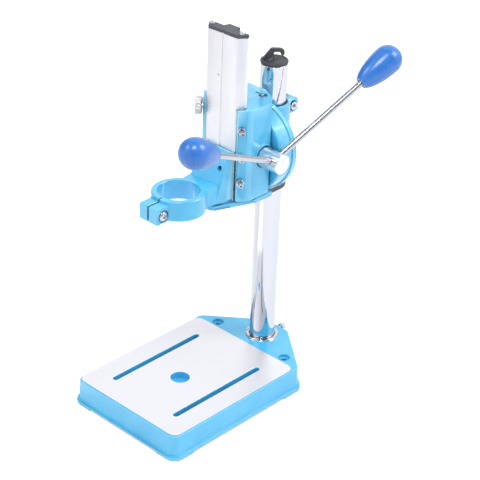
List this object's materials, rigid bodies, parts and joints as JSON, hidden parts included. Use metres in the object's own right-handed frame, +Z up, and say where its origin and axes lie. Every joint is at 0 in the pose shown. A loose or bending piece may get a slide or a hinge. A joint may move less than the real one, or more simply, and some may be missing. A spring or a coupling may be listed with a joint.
{
  "type": "drill stand",
  "caption": "Bench stand for a hand drill: slotted cast base, chrome column, swivel clamp, dovetail slide with rack feed and split collar.",
  "frame": {"origin": "on the column's axis, at the level of the bench that the base stands on", "axes": "+X to the right (the crank's side), +Y to the back, +Z up along the column"},
  "size_m": [0.1697, 0.3115, 0.4077],
  "materials": {
    "paint": "satin sky-blue enamel on a die casting",
    "chrome": "polished chrome plate",
    "zinc": "bright zinc plate",
    "steel": "ground steel",
    "aluminium": "satin anodised extrusion",
    "bronze": "sintered bronze bush",
    "black": "moulded dark grey plastic",
    "knob": "moulded blue plastic",
    "nickel": "nickel plate on a knurled knob"
  },
  "bodies": {
    "base": {"base_casting": "paint", "column_set_bolt": "zinc"},
    "column": {"column_tube": "chrome", "column_cap": "black"},
    "clamp": {"clamp_casting": "paint", "column_liner": "black", "clamp_bolt": "zinc", "clamp_nut": "zinc"},
    "bracket": {"bracket_casting": "paint", "swivel_bolt_1": "zinc", "swivel_bolt_2": "zinc", "swivel_washer_1": "zinc", "swivel_washer_2": "zinc", "gib_strip": "steel", "gib_screw_1": "zinc", "gib_screw_2": "zinc", "gib_screw_3": "zinc", "gib_locknut_1": "zinc", "gib_locknut_2": "zinc", "gib_locknut_3": "zinc", "shaft_bush_left": "bronze", "shaft_bush_right": "bronze", "return_spring": "steel", "spring_pin": "steel"},
    "slide": {"slide_rail": "aluminium", "rack": "steel", "rack_pin_1": "zinc", "rack_pin_2": "zinc", "slide_cap": "black", "cap_screw_1": "zinc", "cap_screw_2": "zinc", "drill_holder": "paint", "holder_screw_1": "zinc", "holder_screw_2": "zinc", "foot_screw_1": "zinc", "foot_screw_2": "zinc", "collar_bolt": "zinc", "collar_nut": "zinc"},
    "crank": {"pinion_shaft": "steel", "retaining_ring": "steel", "crank_hub": "chrome", "hub_set_screw": "steel", "crank_rod_front": "chrome", "crank_rod_rear": "chrome", "knob_front": "knob", "knob_rear": "knob"},
    "lock": {"lock_knob": "nickel", "lock_stud": "zinc"}
  },
  "joints": [
    {"name": "column_turn", "type": "hinge", "parent": "base", "child": "column", "pos_m": [0, 0, 0.0035], "axis": [0, 0, 1], "range_deg": [-180, 180]},
    {"name": "clamp_lift", "type": "slide", "parent": "column", "child": "clamp", "axis": [0, 0, 1], "range_m": [-0.115, 0.035]},
    {"name": "bracket_tilt", "type": "hinge", "parent": "clamp", "child": "bracket", "pos_m": [0, -0.019, 0.2681], "axis": [0, 1, 0], "range_deg": [0, 90]},
    {"name": "feed_slide", "type": "slide", "parent": "bracket", "child": "slide", "axis": [0, 0, 1], "range_m": [-0.06, 0], "stiffness_N_per_m": 80, "springref_m": 0.15, "deforming": ["return_spring"]},
    {"name": "crank_turn", "type": "hinge", "parent": "bracket", "child": "crank", "pos_m": [0, -0.0483, 0.2743], "axis": [1, 0, 0], "range_deg": [0, 367]},
    {"name": "lock_turn", "type": "hinge", "parent": "bracket", "child": "lock", "pos_m": [-0.0227, -0.0729, 0.3181], "axis": [-0.7828, -0.6222, 0], "range_deg": [-180, 180]}
  ],
  "couplings": [
    {"joint": "crank_turn", "follows": "feed_slide", "rad_per_m": -106.67}
  ]
}
